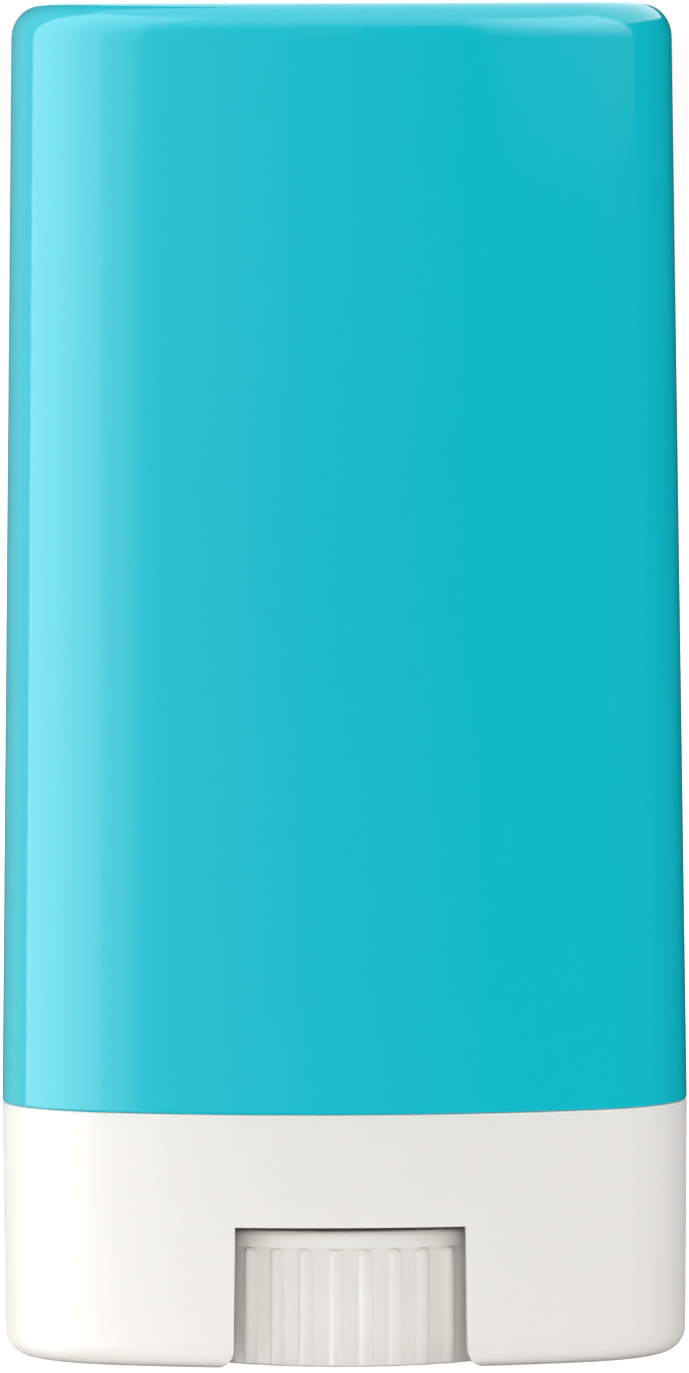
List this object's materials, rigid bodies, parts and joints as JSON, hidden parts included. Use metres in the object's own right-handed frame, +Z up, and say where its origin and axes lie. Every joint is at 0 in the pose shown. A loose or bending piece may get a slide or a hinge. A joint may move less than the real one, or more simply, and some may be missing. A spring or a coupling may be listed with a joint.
{
  "type": "twist-up sunscreen stick",
  "caption": "Slim oval twist-up stick pack: pull-off cap over a white barrel whose skirt has a window front and back for a ribbed dial that screws the balm up.",
  "frame": {"origin": "on the axis of the dial, in the plane of the skirt's foot", "axes": "+Z up along the dial's axis, +X to the right along the pack's width, -Y out of the front window"},
  "size_m": [0.033, 0.019, 0.065],
  "materials": {
    "cap_plastic": "gloss turquoise moulding",
    "barrel_plastic": "satin white moulding",
    "dial_plastic": "satin white moulding",
    "carriage_plastic": "matt white moulding",
    "balm": "waxy off-white solid"
  },
  "bodies": {
    "barrel": {"barrel": "barrel_plastic"},
    "dial": {"dial_screw": "dial_plastic"},
    "carriage": {"carriage": "carriage_plastic", "balm": "balm"},
    "cap": {"cap": "cap_plastic"}
  },
  "joints": [
    {"name": "dial_turn", "type": "hinge", "parent": "barrel", "child": "dial", "pos_m": [0, 0, 0], "axis": [0, 0, 1], "range_deg": [0, 4140.5]},
    {"name": "carriage_rise", "type": "slide", "parent": "barrel", "child": "carriage", "axis": [0, 0, 1], "range_m": [0, 0.0345]},
    {"name": "cap_lift", "type": "slide", "parent": "carriage", "child": "cap", "axis": [0, 0, 1], "range_m": [0, 0.055]}
  ],
  "couplings": [
    {"joint": "dial_turn", "follows": "carriage_rise", "rad_per_m": 2094.4}
  ]
}
